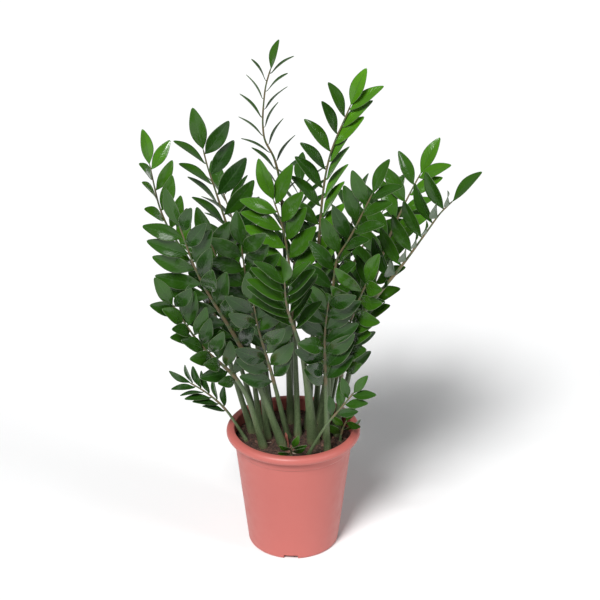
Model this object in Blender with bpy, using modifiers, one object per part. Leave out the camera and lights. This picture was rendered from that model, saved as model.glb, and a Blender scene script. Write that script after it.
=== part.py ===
"""Potted ZZ plant: fronds of fleshy leaflets, standing in soil in a plastic nursery pot.

Metres, +Z up. The origin is at the centre of the pot's flat underside, and -Y is the front.
"""

import itertools
import math
import random
from collections import namedtuple

import bmesh
import bpy
from mathutils import Matrix, Vector
from mathutils.bvhtree import BVHTree

# Driving dimensions
GAP = 0.0003  # left between two pieces that touch
POT_HEIGHT = 0.230
RIM_RADIUS = 0.120  # outside, at the widest part of the roll
RIM_ROLL = 0.0078  # half the roll's height
RIM_OVERHANG = 0.013  # from the roll's widest part in to the neck
WALL = 0.002
STEP_DROP = 0.018  # from the roll's underside down to the stacking step
STEP_DEPTH = 0.0025
FOOT_RADIUS = 0.0822  # of the tapered wall, where it would meet the ground
FOOT_ROUND = 0.005  # rounding between the wall and the foot ring
FOOT_WIDTH = 0.0075  # of the ring that the pot stands on, with its rounding
FOOT_HEIGHT = 0.008  # how far the drainage channel stands above the ground
BASE_THICKNESS = 0.0025
PAD_RADIUS = 0.050  # flat disc in the middle of the underside
PAD_SLOPE = 0.006  # from the disc's edge out to the channel
NOTCH_WIDTH = 0.026
NOTCH_DEPTH = 0.018  # how far it reaches through the foot ring
NOTCH_TURN = -3.3  # heading of the first notch from the front, in degrees
NOTCH_COUNT = 4
DRAIN_RADIUS = 0.005
DRAIN_COUNT = 8
DRAIN_SIDES = 8
SOIL_BELOW_RIM = 0.025
SOCKET_DEPTH = 0.020
SOCKET_CLEARANCE = 0.0004
FEET_APART = 0.0012  # soil left between two sockets, and between a socket and the pot
PLANT_HEIGHT = 0.664  # highest stem end, above the soil
PLANT_REACH = 0.2245  # furthest that a stem ends, sideways from its foot
STEM_GIRTH = 1.0  # thickness of every stem, against its own girth below
LEAFLET_SIZE = 0.090  # length of a full-grown leaflet
LEAFLET_WIDTH = 0.40  # its width, against its length
LEAFLET_THICKNESS = 0.0010
LEAFLET_CLEARANCE = 0.0005  # kept round each leaflet
POT_CLEARANCE = 0.002  # kept between a leaflet and the soil or the pot
STEM_ROOM = 0.002  # kept between a leaflet and any other frond's stem
SHEATHED = "frond_left"  # the frond whose foot a dry sheath wraps
SHEATH_HEIGHT = 0.026
SHEATH_THICKNESS = 0.001
SHEATH_OFF_STEM = 0.0008
SHEATH_FLARE = 0.003  # how much further off the stem its top stands
SHEATH_START, SHEATH_SPREAD = 20, 130  # heading of its middle from +X, and its width, in degrees
SHEATH_POINTED = 0.75  # share of its width lost at the top
POT_SIDES = 32
STEM_SIDES = 6
SHARP_EDGE = 35  # folds sharper than this are not shaded round, in degrees

SOIL_LEVEL = POT_HEIGHT - SOIL_BELOW_RIM
ROLL_BASE = POT_HEIGHT - 2 * RIM_ROLL
STEP_HEIGHT = ROLL_BASE - STEP_DROP
NECK_RADIUS = RIM_RADIUS - RIM_OVERHANG

# One row for each frond.
# base: where it leaves the soil, in shares of the soil's radius.
# route: points that its stem passes through and ends at, measured from its foot.
# pairs: leaflets on each side. leaf: their size, against a full-grown one.
# bare: share of the stem below the first leaflet. girth: radius at the foot.
# face: heading of the side that both rows of leaflets look to, in degrees, 0 to the front and 90 to +X.
# angle: between the stem and the leaflets of the left and of the right row.
# roll: how far each row turns edge on to the face. lift: how far both rows rise towards the face.
Frond = namedtuple("Frond", "name base route pairs leaf bare girth face angle roll lift")
FRONDS = (
    Frond("frond_tallest", (-0.04, 0.46),
          ((-0.016, 0.022, 0.440), (-0.045, 0.027, 0.545), (-0.042, 0.027, 0.625), (-0.032, 0.027, 0.664)),
          9, 0.68, 0.57, 0.0080, 0, (38, 44), (98, 100), 6),
    Frond("frond_upper_left", (-0.33, 0.19),
          ((-0.050, 0.025, 0.280), (-0.096, 0.030, 0.450), (-0.115, 0.030, 0.515), (-0.117, 0.029, 0.532)),
          8, 1.00, 0.44, 0.0080, 12, (33, 52), (78, 8), 10),
    Frond("frond_far_left", (-0.70, 0.14),
          ((-0.076, -0.005, 0.280), (-0.141, -0.035, 0.430), (-0.162, -0.035, 0.530)),
          9, 0.80, 0.40, 0.0075, 50, (40, 40), (35, 35), 30),
    Frond("frond_left", (-0.17, -0.29),
          ((-0.060, -0.032, 0.190), (-0.132, -0.075, 0.355), (-0.164, -0.090, 0.460)),
          9, 0.94, 0.44, 0.0095, -12, (48, 44), (30, 20), 16),
    Frond("frond_lower_left", (-0.50, -0.33),
          ((-0.035, -0.035, 0.140), (-0.100, -0.077, 0.240), (-0.144, -0.105, 0.330)),
          9, 0.84, 0.44, 0.0085, 40, (38, 42), (30, 30), 36),
    Frond("frond_leaning_forward", (0.35, -0.19),
          ((-0.019, -0.065, 0.200), (-0.045, -0.140, 0.330), (-0.049, -0.185, 0.400)),
          6, 0.92, 0.66, 0.0125, 180, (48, 48), (92, 92), 18),
    Frond("frond_long_right", (0.48, 0.17),
          ((0.032, -0.018, 0.180), (0.082, -0.036, 0.272), (0.135, -0.048, 0.352),
           (0.196, -0.064, 0.455), (0.214, -0.068, 0.476)),
          10, 0.94, 0.40, 0.0095, -70, (60, 58), (14, 14), 50),
    Frond("frond_upper_right", (0.25, 0.29),
          ((0.016, 0.005, 0.330), (0.032, 0.018, 0.500), (0.071, 0.020, 0.609)),
          11, 0.90, 0.42, 0.0080, 0, (50, 28), (46, 62), 10),
    Frond("frond_right", (0.56, -0.12),
          ((0.011, -0.017, 0.330), (0.039, -0.029, 0.410), (0.073, -0.037, 0.490)),
          8, 0.88, 0.46, 0.0075, -25, (45, 40), (36, 50), 26),
    Frond("frond_far_right", (0.71, 0.33),
          ((0.075, 0.020, 0.310), (0.115, 0.045, 0.410), (0.147, 0.060, 0.472)),
          9, 0.92, 0.40, 0.0080, -25, (52, 44), (24, 30), 24),
    Frond("frond_inner_right", (0.44, 0.48),
          ((0.034, 0.020, 0.240), (0.079, 0.040, 0.340), (0.112, 0.050, 0.400)),
          8, 0.98, 0.40, 0.0075, -15, (50, 46), (26, 26), 22),
    Frond("frond_inner_left", (-0.56, 0.20),
          ((-0.026, -0.011, 0.220), (-0.061, -0.021, 0.320), (-0.081, -0.031, 0.385)),
          7, 0.98, 0.42, 0.0075, 10, (48, 48), (24, 30), 22),
    Frond("frond_back_left", (-0.39, 0.64),
          ((-0.029, 0.053, 0.250), (-0.069, 0.113, 0.350), (-0.089, 0.158, 0.390)),
          8, 0.92, 0.40, 0.0080, 30, (46, 46), (60, 60), 20),
    Frond("frond_back", (-0.06, 0.81),
          ((0.006, 0.055, 0.240), (0.016, 0.120, 0.340), (0.020, 0.175, 0.390)),
          8, 0.92, 0.40, 0.0080, 0, (46, 46), (60, 60), 20),
    Frond("frond_back_right", (0.38, 0.72),
          ((0.020, 0.042, 0.220), (0.056, 0.104, 0.310), (0.078, 0.150, 0.360)),
          8, 0.92, 0.38, 0.0080, -30, (46, 46), (60, 60), 20),
    Frond("frond_middle_left", (-0.43, -0.06),
          ((-0.019, -0.024, 0.220), (-0.033, -0.054, 0.340), (-0.039, -0.076, 0.410)),
          8, 1.00, 0.40, 0.0080, -5, (45, 45), (35, 20), 20),
    Frond("frond_middle", (0.08, 0.04),
          ((-0.008, 0.006, 0.250), (-0.022, 0.016, 0.380), (-0.042, 0.020, 0.450)),
          8, 1.02, 0.42, 0.0080, 0, (52, 48), (40, 36), 14),
    Frond("frond_middle_right", (0.75, 0.04),
          ((0.009, -0.044, 0.200), (0.025, -0.084, 0.290), (0.043, -0.114, 0.355)),
          7, 0.98, 0.36, 0.0080, -25, (50, 46), (20, 30), 30),
    Frond("frond_front_left", (-0.08, -0.06),
          ((-0.028, -0.056, 0.160), (-0.048, -0.094, 0.260), (-0.056, -0.119, 0.325)),
          7, 0.98, 0.42, 0.0075, 0, (40, 40), (35, 25), 16),
    Frond("frond_front_right", (0.58, -0.44),
          ((-0.005, -0.016, 0.150), (-0.007, -0.040, 0.250), (-0.001, -0.059, 0.320)),
          7, 0.94, 0.42, 0.0075, 10, (44, 44), (30, 35), 20),
    Frond("frond_side_right", (0.58, 0.64),
          ((0.021, -0.017, 0.120), (0.025, -0.033, 0.200), (0.037, -0.039, 0.262)),
          6, 0.86, 0.34, 0.0070, 15, (52, 54), (50, 25), 12),
    Frond("frond_side_left", (-0.62, 0.48),
          ((-0.051, 0.025, 0.180), (-0.095, 0.045, 0.270), (-0.120, 0.055, 0.330)),
          7, 0.90, 0.40, 0.0075, 60, (45, 45), (40, 40), 26),
    Frond("frond_low_left", (-0.79, -0.12),
          ((-0.035, 0.003, 0.060), (-0.069, 0.009, 0.092), (-0.101, 0.013, 0.112)),
          5, 0.56, 0.44, 0.0045, 10, (38, 40), (75, 40), 22),
    Frond("frond_low_right", (0.24, -0.62),
          ((0.031, -0.017, 0.070), (0.060, -0.027, 0.115), (0.079, -0.035, 0.146)),
          3, 0.60, 0.58, 0.0045, -20, (40, 38), (40, 30), 16),
    Frond("shoot_front", (-0.02, -0.71),
          ((-0.002, -0.001, 0.012), (-0.001, -0.004, 0.020), (0.002, -0.007, 0.028)),
          2, 0.44, 0.30, 0.0035, 0, (50, 50), (10, 10), 30),
    Frond("shoot_right", (0.80, -0.16),
          ((0.002, -0.001, 0.022), (0.007, -0.003, 0.036), (0.011, -0.005, 0.048)),
          2, 0.55, 0.30, 0.0035, 0, (50, 50), (10, 10), 25),
)

# Ways that a leaflet can lie, tried in turn until it is clear of its neighbours: sideways, up and about
# its own length, in degrees.
LEANS = (
    (0, 0, 0), (0, 12, 0), (0, -12, 0), (11, 0, 0), (-11, 0, 0), (0, 0, 25), (0, 0, -25),
    (9, 22, 15), (-9, 22, -15), (9, -22, 15), (-9, -22, -15), (0, 34, 0), (0, -34, 0),
    (-18, 12, 30), (18, 12, -30), (-18, -12, -30), (18, -12, 30), (-12, 44, 20), (-12, -44, -20),
)
SIZE_RANGE = (0.92, 1.06)  # how leaflets of one frond differ
SIZES = (1.0, 0.9, 0.8, 0.7, 0.6, 0.5, 0.4, 0.3, 0.2, 0.12)
STEM_TIP_RADIUS = 0.0013
STEM_NECK = 0.86  # radius just above the swollen foot, against the foot's
STEM_TAPER = 1.5  # power of the taper from there to the tip
STALK_SECTIONS = 4  # from the soil to the first leaflet
CURVE_SAMPLES = 80
FEET_ROUNDS = 60  # passes over the feet until none is too near another
LEAFLET_STARTS = (0.28, 0.72)  # where the left and the right leaflet leave their stretch of stem
LEAFLET_STALK = 0.0015
START_DRAWN_IN = 0.08  # share by which a leaflet's start is made smaller when it is tested
LEAFLET_REACH = 0.62  # from its middle to its furthest corner, against its length
STALK_WIDTH = 0.10  # width of a leaflet where it starts, against its full width
LEAFLET_ARCH = 0.05  # height of its arch, against its length
FIRST_SMALLER, LAST_SMALLER = 0.16, 0.16  # how much smaller the lowest and the highest leaflets are
END_LEAFLET = 0.86  # size of the one that ends the stem
END_TURN = 0.5  # how far that one turns edge on, against the right row
SWAY = (6, 7, 12)  # how far each leaflet strays sideways, up and about its length, in degrees
# Outline of a leaflet: share of its length, and of its width there.
LEAFLET_OUTLINE = ((0.30, 0.88), (0.64, 0.92))


def clear_scene():
    for obj in list(bpy.data.objects):
        bpy.data.objects.remove(obj, do_unlink=True)


def new_collection(name):
    collection = bpy.data.collections.new(name)
    bpy.context.scene.collection.children.link(collection)
    return collection


def new_material(name, colour, roughness):
    material = bpy.data.materials.new(name)
    material.use_nodes = True
    shader = material.node_tree.nodes["Principled BSDF"]
    shader.inputs["Base Color"].default_value = (*colour, 1.0)
    shader.inputs["Roughness"].default_value = roughness
    shader.inputs["Metallic"].default_value = 0.0
    material.diffuse_color = (*colour, 1.0)
    return material


def add_object(name, mesh, collection, material=None):
    obj = bpy.data.objects.new(name, mesh)
    collection.objects.link(obj)
    if material:
        mesh.materials.append(material)
    return obj


def mesh_from(shape, name):
    mesh = bpy.data.meshes.new(name)
    shape.to_mesh(mesh)
    shape.free()
    return mesh


def shade_round(mesh):
    mesh.shade_smooth()
    mesh.set_sharp_from_angle(angle=math.radians(SHARP_EDGE))


def arc(centre, radius, start, end, steps):
    """Points of an arc in the (radius, height) plane, angles in degrees from +X."""
    angles = [math.radians(start + (end - start) * i / steps) for i in range(steps + 1)]
    return [(centre[0] + radius * math.cos(a), centre[1] + radius * math.sin(a)) for a in angles]


def turned(name, profile, collection, material):
    """A solid turned about the Z axis, from a profile that runs down its outside and up its inside."""
    mesh = bpy.data.meshes.new(name)
    corners = [(radius, 0.0, height) for radius, height in profile]
    mesh.from_pydata(corners, [(i, i + 1) for i in range(len(corners) - 1)], [])
    obj = add_object(name, mesh, collection, material)
    screw = obj.modifiers.new("turn", "SCREW")
    screw.steps = POT_SIDES
    screw.render_steps = POT_SIDES
    screw.use_merge_vertices = True
    screw.merge_threshold = 0.00005
    screw.use_smooth_shade = True
    return obj


def cut_with(obj, cutter):
    cutter.hide_render = True
    cutter.display_type = "WIRE"
    boolean = obj.modifiers.new("cut_" + cutter.name, "BOOLEAN")
    boolean.operation = "DIFFERENCE"
    boolean.solver = "EXACT"
    boolean.object = cutter


# Pot

def wall_radius(height):
    """Outer radius of the pot's tapered wall, from the ground up to the stacking step."""
    return FOOT_RADIUS + (NECK_RADIUS - STEP_DEPTH - FOOT_RADIUS) * height / STEP_HEIGHT


def inner_radius(height):
    """Radius of the pot's hollow, which widens at the stacking step."""
    if height <= STEP_HEIGHT:
        return wall_radius(height) - WALL
    wider = NECK_RADIUS - wall_radius(STEP_HEIGHT)
    return wall_radius(STEP_HEIGHT) - WALL + wider * min(1.0, (height - STEP_HEIGHT) / STEP_DEPTH)


def pot_profile():
    roll = arc((RIM_RADIUS - RIM_ROLL, POT_HEIGHT - RIM_ROLL), RIM_ROLL, 90, -90, 6)
    neck = [(NECK_RADIUS, ROLL_BASE), (NECK_RADIUS, STEP_HEIGHT + STEP_DEPTH)]
    outside = [(wall_radius(STEP_HEIGHT), STEP_HEIGHT)]
    outside += arc((wall_radius(FOOT_ROUND) - FOOT_ROUND, FOOT_ROUND), FOOT_ROUND, 0, -90, 3)
    channel = FOOT_RADIUS - FOOT_WIDTH
    underside = [(channel, 0.0), (channel, FOOT_HEIGHT), (PAD_RADIUS + PAD_SLOPE, FOOT_HEIGHT)]
    underside += [(PAD_RADIUS, 0.0), (0.0, 0.0)]
    floor = FOOT_HEIGHT + BASE_THICKNESS
    inside = [(0.0, BASE_THICKNESS), (PAD_RADIUS - WALL, BASE_THICKNESS)]
    inside += [(PAD_RADIUS + PAD_SLOPE - WALL, floor), (inner_radius(floor), floor)]
    inside += [(inner_radius(height), height) for height in (STEP_HEIGHT, STEP_HEIGHT + STEP_DEPTH)]
    lip = [(NECK_RADIUS - WALL, POT_HEIGHT - WALL), (NECK_RADIUS, POT_HEIGHT)]
    return roll + neck + outside + underside + inside + lip + [roll[0]]


def foot_notches():
    """Cutters that run out through the foot ring, and stop short of the middle pad."""
    shape = bmesh.new()
    for i in range(NOTCH_COUNT):
        turn = Matrix.Rotation(math.radians(NOTCH_TURN) + math.tau * i / NOTCH_COUNT, 4, "Z")
        middle = Matrix.Translation((0.0, -(FOOT_RADIUS - FOOT_WIDTH / 2), 0.0))
        size = Matrix.Diagonal((NOTCH_WIDTH, NOTCH_DEPTH, 2 * (FOOT_HEIGHT - GAP), 1.0))
        bmesh.ops.create_cube(shape, size=1.0, matrix=turn @ middle @ size)
    return mesh_from(shape, "foot_notches")


def drain_holes():
    """Cutters through the raised floor, half-way between the pad and the wall."""
    shape = bmesh.new()
    ring = (PAD_RADIUS + FOOT_RADIUS) / 2
    for i in range(DRAIN_COUNT):
        angle = math.tau * (i + 0.5) / DRAIN_COUNT
        place = Matrix.Translation((ring * math.cos(angle), ring * math.sin(angle), FOOT_HEIGHT))
        bmesh.ops.create_cone(
            shape, cap_ends=True, segments=DRAIN_SIDES, radius1=DRAIN_RADIUS, radius2=DRAIN_RADIUS,
            depth=4 * BASE_THICKNESS, matrix=place
        )
    return mesh_from(shape, "drain_holes")


def make_pot(parts, cutters, material):
    pot = turned("pot", pot_profile(), parts, material)
    cut_with(pot, add_object("foot_notches", foot_notches(), cutters))
    cut_with(pot, add_object("drain_holes", drain_holes(), cutters))


# Soil

def soil_profile():
    """Fills the pot's hollow, a gap away from it."""
    floor = FOOT_HEIGHT + BASE_THICKNESS + GAP
    bends = [height for height in (STEP_HEIGHT + STEP_DEPTH, STEP_HEIGHT) if height < SOIL_LEVEL]
    side = [(inner_radius(height) - GAP, height) for height in [SOIL_LEVEL] + bends + [floor]]
    hollow = BASE_THICKNESS + GAP
    middle = [(PAD_RADIUS + PAD_SLOPE - WALL - GAP, floor), (PAD_RADIUS - WALL - 3 * GAP, hollow)]
    return [(0.0, SOIL_LEVEL)] + side + middle + [(0.0, hollow)]


def make_soil(parts, cutters, material, stems):
    soil = turned("soil", soil_profile(), parts, material)
    shape = bmesh.new()
    for stem in stems:
        radius = stem.radii[0] + SOCKET_CLEARANCE
        foot = stem.points[0] - Vector((0.0, 0.0, GAP))
        turn = Matrix.Rotation(math.radians(stem.frond.face), 4, "Z")
        place = Matrix.Translation(foot + Vector((0.0, 0.0, SOCKET_DEPTH)))
        bmesh.ops.create_cone(
            shape, cap_ends=True, segments=STEM_SIDES, radius1=radius, radius2=radius,
            depth=2 * SOCKET_DEPTH, matrix=place @ turn
        )
    cut_with(soil, add_object("stem_sockets", mesh_from(shape, "stem_sockets"), cutters))


# Stems

Stem = namedtuple("Stem", "frond points radii first_leaflet")


def spline_point(points, t):
    """A point of the smooth curve through the points, t running from 0 to 1 between each two."""
    i = min(int(t), len(points) - 2)
    u = t - i
    before = points[i - 1] if i > 0 else 2 * points[0] - points[1]
    after = points[i + 2] if i + 2 < len(points) else 2 * points[-1] - points[-2]
    start, end = points[i], points[i + 1]
    bend = 2 * before - 5 * start + 4 * end - after
    twist = 3 * start - before - 3 * end + after
    return 0.5 * (2 * start + (end - before) * u + bend * u**2 + twist * u**3)


def evenly(points, shares):
    """Points at the given shares of the length of the smooth curve through the points."""
    spans = len(points) - 1
    fine = [spline_point(points, spans * i / CURVE_SAMPLES) for i in range(CURVE_SAMPLES + 1)]
    lengths = [0.0]
    for i in range(CURVE_SAMPLES):
        lengths.append(lengths[-1] + (fine[i + 1] - fine[i]).length)
    found = []
    for share in shares:
        target = share * lengths[-1]
        i = max(j for j in range(CURVE_SAMPLES) if lengths[j] <= target)
        found.append(fine[i].lerp(fine[i + 1], (target - lengths[i]) / (lengths[i + 1] - lengths[i])))
    return found


def place_feet():
    """Where each frond leaves the soil. Feet too near each other, or the pot, are moved apart."""
    inside = inner_radius(SOIL_LEVEL)
    feet = [Vector((frond.base[0] * inside, frond.base[1] * inside, SOIL_LEVEL)) for frond in FRONDS]
    reach = [frond.girth * STEM_GIRTH + SOCKET_CLEARANCE + FEET_APART / 2 for frond in FRONDS]
    sheathed = [frond.name for frond in FRONDS].index(SHEATHED)
    reach[sheathed] += SHEATH_OFF_STEM + SHEATH_THICKNESS + SHEATH_FLARE
    for _ in range(FEET_ROUNDS):
        for i, j in itertools.combinations(range(len(feet)), 2):
            between = feet[j] - feet[i]
            lack = reach[i] + reach[j] - between.length
            if lack > 0:
                feet[i] = feet[i] - between.normalized() * lack / 2
                feet[j] = feet[j] + between.normalized() * lack / 2
        for i, foot in enumerate(feet):
            out = math.hypot(foot.x, foot.y)
            room = inner_radius(SOIL_LEVEL - SOCKET_DEPTH) - GAP - reach[i]
            if out > room:
                feet[i] = Vector((foot.x * room / out, foot.y * room / out, SOIL_LEVEL))
    return feet


def plan_stem(frond, foot):
    """Centre points and radii of a stem's sections, from the buried foot up to its end."""
    tall = PLANT_HEIGHT / max(row.route[-1][2] for row in FRONDS)
    wide = PLANT_REACH / max(math.hypot(row.route[-1][0], row.route[-1][1]) for row in FRONDS)
    route = [foot] + [foot + Vector((x * wide, y * wide, h * tall)) for x, y, h in frond.route]
    shares = [frond.bare * i / STALK_SECTIONS for i in range(STALK_SECTIONS)]
    shares += [frond.bare + (1 - frond.bare) * i / frond.pairs for i in range(frond.pairs + 1)]
    points = [foot - Vector((0, 0, SOCKET_DEPTH)), foot] + evenly(route, shares[1:])
    radii = [frond.girth, frond.girth]
    thicker = frond.girth * STEM_NECK - STEM_TIP_RADIUS
    for share in shares[1:]:
        radii.append(STEM_TIP_RADIUS + thicker * (1 - share) ** STEM_TAPER)
    return Stem(frond, points, [radius * STEM_GIRTH for radius in radii], len(points) - frond.pairs - 1)


def section_axes(stem, i):
    """Direction, right side and face of a stem at section i."""
    points = stem.points
    if i <= 1:
        along = Vector((0, 0, 1))
    else:
        along = (points[min(i + 1, len(points) - 1)] - points[i - 1]).normalized()
    heading = math.radians(stem.frond.face)
    face = Vector((math.sin(heading), -math.cos(heading), 0.0))
    right = along.cross(face).normalized()
    return along, right, right.cross(along)


def corner_angle(side):
    """Angle of a section's corner, from the stem's right side towards its face. 0 and 1 face right."""
    return math.tau / 12 - math.tau * side / STEM_SIDES


def section_corners(stem, i, grown=0.0):
    """The corners of a stem's section. grown makes it larger all round."""
    along, right, face = section_axes(stem, i)
    radius = stem.radii[i] + grown
    corners = []
    for side in range(STEM_SIDES):
        angle = corner_angle(side)
        corners.append(stem.points[i] + radius * (math.cos(angle) * right + math.sin(angle) * face))
    return corners


def extrude_to(shape, face, corners):
    """Draws a face out into a new section, and returns the face at its end."""
    face = bmesh.ops.extrude_discrete_faces(shape, faces=[face])["faces"][0]
    for vert, corner in zip(face.verts, corners):
        vert.co = corner
    return face


def grow_stem(shape, stem):
    """The stem as sections drawn up from its foot. Returns their corners, and the face at the end."""
    foot = [shape.verts.new(corner) for corner in section_corners(stem, 0)]
    face = shape.faces.new(foot)
    rings = [foot]
    for i in range(1, len(stem.points)):
        face = extrude_to(shape, face, section_corners(stem, i))
        rings.append(list(face.verts))
    shape.faces.new(reversed(foot))
    return rings, face


# Leaflets

# start: corners of the stem's side that the leaflet is drawn out from.
Leaflet = namedtuple("Leaflet", "root along up length width start")


def leaflet_at(stem, segment, side, sway, lean, size):
    """A leaflet on one side of a stem's segment. side is 1 on the right and -1 on the left."""
    frond = stem.frond
    row = 0 if side < 0 else 1
    along, right, face = section_axes(stem, segment)
    angle = math.radians(frond.angle[row] + lean[0] + sway[0])
    rise = math.radians(frond.lift + lean[1] + sway[1])
    roll = math.radians(frond.roll[row] + lean[2] + sway[2])
    outward = side * math.cos(rise) * right + math.sin(rise) * face
    direction = (math.cos(angle) * along + math.sin(angle) * outward).normalized()
    # Flat to the frond's face at no roll, and turned to look along the stem as it rolls.
    flat = (face - direction * face.dot(direction)).normalized()
    up = Matrix.Rotation(-side * roll, 3, direction) @ flat
    rank = (segment - stem.first_leaflet) / max(1, frond.pairs - 1)
    full = LEAFLET_SIZE * frond.leaf * sway[3] * size
    full *= 1.0 - LAST_SMALLER * rank**2 - FIRST_SMALLER * (1 - rank) ** 3
    low, high = section_corners(stem, segment), section_corners(stem, segment + 1)
    first = 0 if side > 0 else STEM_SIDES // 2
    start = (low[first], low[first + 1], high[first + 1], high[first])
    centre = stem.points[segment].lerp(stem.points[segment + 1], LEAFLET_STARTS[row])
    root = centre + outward * (stem.radii[segment] + LEAFLET_STALK)
    return Leaflet(root, direction, up.normalized(), full, full * LEAFLET_WIDTH, start)


def end_leaflet(stem, size):
    """The leaflet that ends a stem, in line with it."""
    last = len(stem.points) - 1
    along, _, face = section_axes(stem, last)
    turn = Matrix.Rotation(-math.radians(stem.frond.roll[1] * END_TURN), 3, along)
    length = LEAFLET_SIZE * stem.frond.leaf * END_LEAFLET * size
    corners = section_corners(stem, last)
    start = (corners[0], corners[2], corners[3], corners[5])
    return Leaflet(stem.points[last], along, turn @ face, length, length * LEAFLET_WIDTH, start)


def blade_middle(leaflet, share):
    """A point of the leaflet's middle line, which arches."""
    bend = leaflet.up * leaflet.length * LEAFLET_ARCH * math.sin(math.pi * share)
    return leaflet.root + leaflet.along * leaflet.length * share + bend


def blade_section(leaflet, share, width, grown=0.0):
    """The four corners of a leaflet's section. grown makes it larger all round."""
    across = leaflet.up.cross(leaflet.along) * (leaflet.width * width / 2 + grown)
    thick = leaflet.up * (LEAFLET_THICKNESS / 2 + grown)
    middle = blade_middle(leaflet, share)
    return [middle + across * a + thick * b for a, b in ((1, 1), (-1, 1), (-1, -1), (1, -1))]


def matched(corners, section):
    """The section's corners, turned so that each is the nearest to the corner it is joined to."""
    turns = range(4)
    turned_by = [[section[(i + turn) % 4] for i in turns] for turn in turns]
    return min(turned_by, key=lambda way: sum((way[i] - corners[i]).length for i in turns))


def leaflet_sections(leaflet, grown=0.0):
    """A leaflet's sections, from the stem's side out, and its tip."""
    shares = ((0.0, STALK_WIDTH),) + LEAFLET_OUTLINE
    sections = [list(leaflet.start)]
    for share, width in shares:
        sections.append(matched(sections[-1], blade_section(leaflet, share, width, grown)))
    return sections, leaflet.root + leaflet.along * (leaflet.length + grown)


def leaflet_tree(leaflet):
    """The leaflet's outer skin with its clearance, for testing what it touches."""
    sections, tip = leaflet_sections(leaflet, LEAFLET_CLEARANCE)
    centre = sum(leaflet.start, Vector()) / 4
    # The corners on the stem are shared with the leaflets next to it.
    sections[0] = [corner.lerp(centre, START_DRAWN_IN) for corner in leaflet.start]
    corners = [corner for section in sections for corner in section] + [tip]
    faces = [(0, 1, 2, 3)]
    last = 4 * (len(sections) - 1)
    for low in range(0, last, 4):
        for j in range(4):
            k = (j + 1) % 4
            faces.append((low + j, low + k, low + 4 + k, low + 4 + j))
    faces += [(last + j, last + (j + 1) % 4, last + 4) for j in range(4)]
    return BVHTree.FromPolygons(corners, faces, epsilon=0.0)


def segment_tree(stem, segment):
    """The skin of one stretch of a stem, with the room that its own leaflets need to start in."""
    corners = section_corners(stem, segment, STEM_ROOM) + section_corners(stem, segment + 1, STEM_ROOM)
    faces = []
    for j in range(STEM_SIDES):
        k = (j + 1) % STEM_SIDES
        faces.append((j, k, STEM_SIDES + k, STEM_SIDES + j))
    return BVHTree.FromPolygons(corners, faces, epsilon=0.0)


class Surroundings:
    """What stands near the leaflets, and whether a new one is clear of it."""

    def __init__(self, stems):
        self.stems = []
        self.leaflets = {}
        for stem in stems:
            for i in range(len(stem.points) - 1):
                start, end = stem.points[i], stem.points[i + 1]
                reach = (end - start).length / 2 + stem.radii[i] + STEM_ROOM
                self.stems.append((stem.frond.name, (segment_tree(stem, i), (start + end) / 2, reach)))

    def put(self, place, leaflet):
        """Stands a leaflet in its place, instead of what stood there before."""
        self.leaflets[place] = (leaflet_tree(leaflet), blade_middle(leaflet, 0.5), leaflet_reach(leaflet))

    def clear(self, place, leaflet):
        """place is the name of the leaflet's frond, its segment and its side."""
        middle, reach = blade_middle(leaflet, 0.5), leaflet_reach(leaflet)
        if middle.z - reach < POT_HEIGHT and not above_pot(leaflet):
            return False
        others = [other for name, other in self.stems if name != place[0]]
        others += [other for other_place, other in self.leaflets.items() if other_place != place]
        near = [other for other in others if (other[1] - middle).length < reach + other[2]]
        if not near:
            return True
        tree = leaflet_tree(leaflet)
        return not any(tree.overlap(other[0]) for other in near)


def leaflet_reach(leaflet):
    """From the leaflet's middle to the furthest of its corners."""
    middle = blade_middle(leaflet, 0.5)
    furthest = max((corner - middle).length for corner in leaflet.start)
    return max(leaflet.length * LEAFLET_REACH, furthest)


def above_pot(leaflet):
    """Whether it is above the soil inside the pot, and above the rim over and outside it."""
    sections, tip = leaflet_sections(leaflet, LEAFLET_CLEARANCE)
    for corner in [corner for section in sections[1:] for corner in section] + [tip]:
        inside = math.hypot(corner.x, corner.y) < NECK_RADIUS - WALL - POT_CLEARANCE
        if corner.z < (SOIL_LEVEL if inside else POT_HEIGHT) + POT_CLEARANCE:
            return False
    return True


def place_leaflets(stems):
    """Every frond's leaflets. They all start as buds, then each in turn takes the first of its tries
    that is clear of the stems, the buds and the leaflets before it. One that has none stays a bud."""
    surroundings = Surroundings(stems)
    tries = {}
    for stem in stems:
        name, draw = stem.frond.name, random.Random(stem.frond.name)
        last = len(stem.points) - 1
        tries[name, last, 0] = [end_leaflet(stem, size) for size in SIZES]
        for segment in range(stem.first_leaflet, last):
            for side in (-1, 1):
                sway = [draw.uniform(-most, most) for most in SWAY] + [draw.uniform(*SIZE_RANGE)]
                tries[name, segment, side] = [
                    leaflet_at(stem, segment, side, sway, lean, size) for size in SIZES for lean in LEANS
                ]
    buds = {}
    for place, leaflets in tries.items():
        buds[place] = min(leaflets, key=lambda leaflet: leaflet.length)
        surroundings.put(place, buds[place])
    placed = {}
    for place, leaflets in tries.items():
        clear = (leaflet for leaflet in leaflets if surroundings.clear(place, leaflet))
        placed[place] = next(clear, buds[place])
        surroundings.put(place, placed[place])
    return placed


def draw_leaflet(shape, face, leaflet):
    """Draws a side face of the stem out into a leaflet."""
    sections, tip = leaflet_sections(leaflet)
    corners = [vert.co for vert in face.verts]
    for section in sections[1:]:
        section = matched(corners, section)
        face = extrude_to(shape, face, section)
        corners = section
    bmesh.ops.poke(shape, faces=[face])["verts"][0].co = tip


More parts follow.
